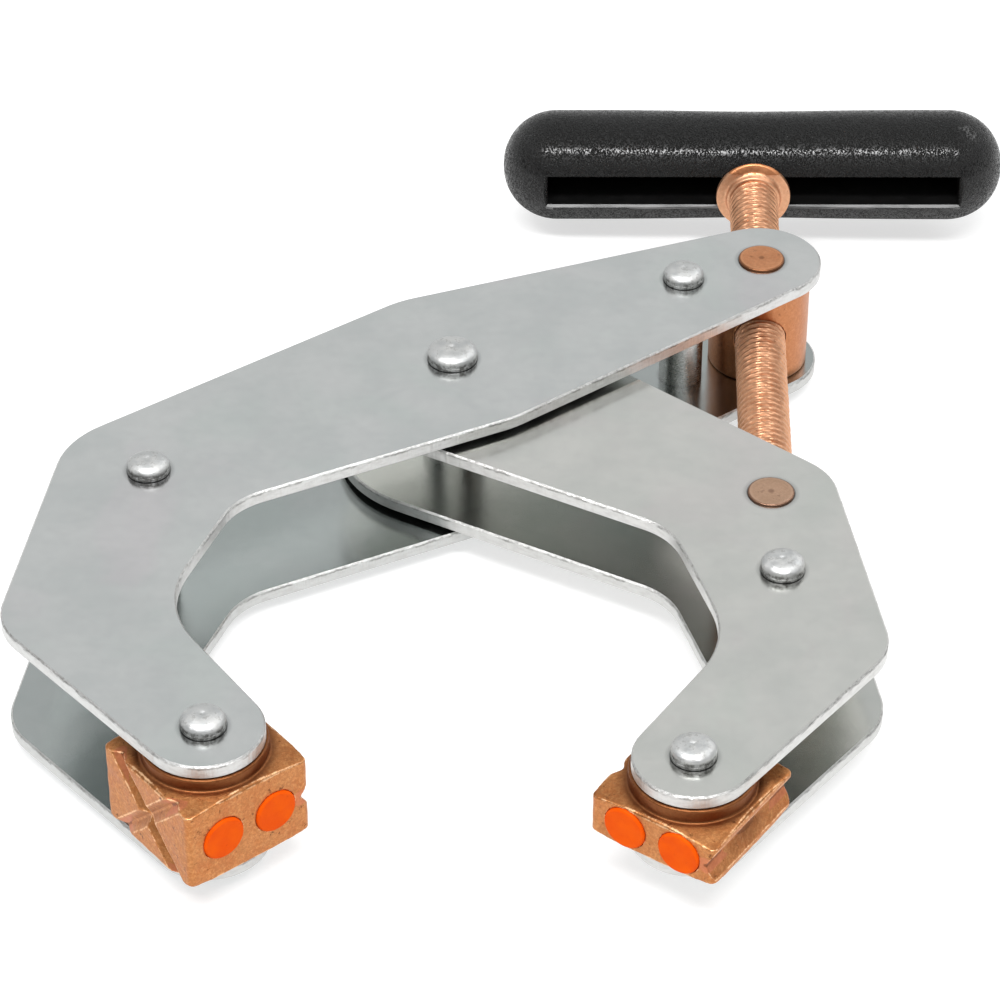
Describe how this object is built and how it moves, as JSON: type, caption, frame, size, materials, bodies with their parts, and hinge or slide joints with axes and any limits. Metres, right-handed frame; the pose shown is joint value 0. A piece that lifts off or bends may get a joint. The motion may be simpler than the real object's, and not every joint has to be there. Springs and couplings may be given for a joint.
{
  "type": "cantilever clamp",
  "caption": "Screw-actuated cantilever clamp: nested plate arms on a pivot, a screw with a sliding T-handle, and square swivelling jaws with grooved and padded faces.",
  "frame": {"origin": "on the arms' pivot axis, at the lower flat of the pivot rivet, on the plane that the clamp lies on when it is put down on its side", "axes": "+Z along the pivot axis, out of the upper rivet head. The screw lies along Y when the clamp is as stored: +Y runs from the jaws to the T-handle's end of the clamp. +X runs from the pivot towards the screw"},
  "size_m": [0.2066, 0.2502, 0.0347],
  "materials": {
    "zinc_plate": "zinc plated sheet steel, sheared edges bright",
    "steel_rivet": "zinc plated steel, formed heads",
    "copper_plate": "copper plated steel, bright and lightly speckled, worn at the edges",
    "handle_plastic": "moulded, satin, with a fine grain",
    "orange_plug": "moulded, satin",
    "plain_steel": "bright turned steel"
  },
  "bodies": {
    "outer_arm": {"outer_arm_plate_top": "zinc_plate", "outer_arm_plate_bottom": "zinc_plate", "pivot_rivet": "steel_rivet", "pivot_washer_top": "plain_steel", "pivot_washer_bottom": "plain_steel", "outer_elbow_rivet": "steel_rivet", "outer_elbow_spacer": "steel_rivet", "outer_post_rivet": "steel_rivet", "outer_post_spacer": "steel_rivet", "outer_jaw_rivet": "steel_rivet"},
    "inner_arm": {"inner_arm_plate_top": "zinc_plate", "inner_arm_plate_bottom": "zinc_plate", "pivot_bush": "plain_steel", "inner_elbow_rivet": "steel_rivet", "inner_elbow_spacer": "steel_rivet", "inner_jaw_rivet": "steel_rivet"},
    "trunnion_nut": {"trunnion_nut": "copper_plate"},
    "trunnion_socket": {"trunnion_socket": "copper_plate", "thrust_washer": "plain_steel"},
    "clamp_screw": {"clamp_screw": "copper_plate", "screw_collar": "copper_plate", "retaining_clip": "plain_steel"},
    "handle": {"handle_grip": "handle_plastic", "handle_rod": "plain_steel"},
    "outer_jaw": {"outer_jaw": "copper_plate", "outer_jaw_plug_left": "orange_plug", "outer_jaw_plug_right": "orange_plug"},
    "inner_jaw": {"inner_jaw": "copper_plate", "inner_jaw_plug_left": "orange_plug", "inner_jaw_plug_right": "orange_plug"}
  },
  "joints": [
    {"name": "arm_pivot", "type": "hinge", "parent": "outer_arm", "child": "inner_arm", "pos_m": [0, 0, 0.01735], "axis": [0, 0, -1], "range_deg": [-28, 24.5]},
    {"name": "nut_swivel", "type": "hinge", "parent": "outer_arm", "child": "trunnion_nut", "pos_m": [0.06561, 0.03895, 0.01735], "axis": [0, 0, -1], "range_deg": [-14, 12.25]},
    {"name": "socket_swivel", "type": "hinge", "parent": "inner_arm", "child": "trunnion_socket", "pos_m": [0.06561, -0.03895, 0.01735], "axis": [0, 0, -1], "range_deg": [-12.25, 14]},
    {"name": "screw_turn", "type": "hinge", "parent": "trunnion_socket", "child": "clamp_screw", "pos_m": [0.06561, -0.03895, 0.01735], "axis": [0, -1, 0], "range_deg": [-6365, 5569]},
    {"name": "handle_slide", "type": "slide", "parent": "clamp_screw", "child": "handle", "axis": [0.9998, 0, 0.0175], "range_m": [-0.041, 0.041]},
    {"name": "outer_jaw_swivel", "type": "hinge", "parent": "outer_arm", "child": "outer_jaw", "pos_m": [-0.0413, -0.1182, 0.01735], "axis": [0, 0, 1], "continuous": true},
    {"name": "inner_jaw_swivel", "type": "hinge", "parent": "inner_arm", "child": "inner_jaw", "pos_m": [0.049, -0.1192, 0.01735], "axis": [0, 0, 1], "continuous": true}
  ],
  "couplings": [
    {"joint": "arm_pivot", "follows": "screw_turn", "ratio": 0.0043984},
    {"joint": "nut_swivel", "follows": "screw_turn", "ratio": 0.0021992},
    {"joint": "socket_swivel", "follows": "screw_turn", "ratio": -0.0021992}
  ]
}
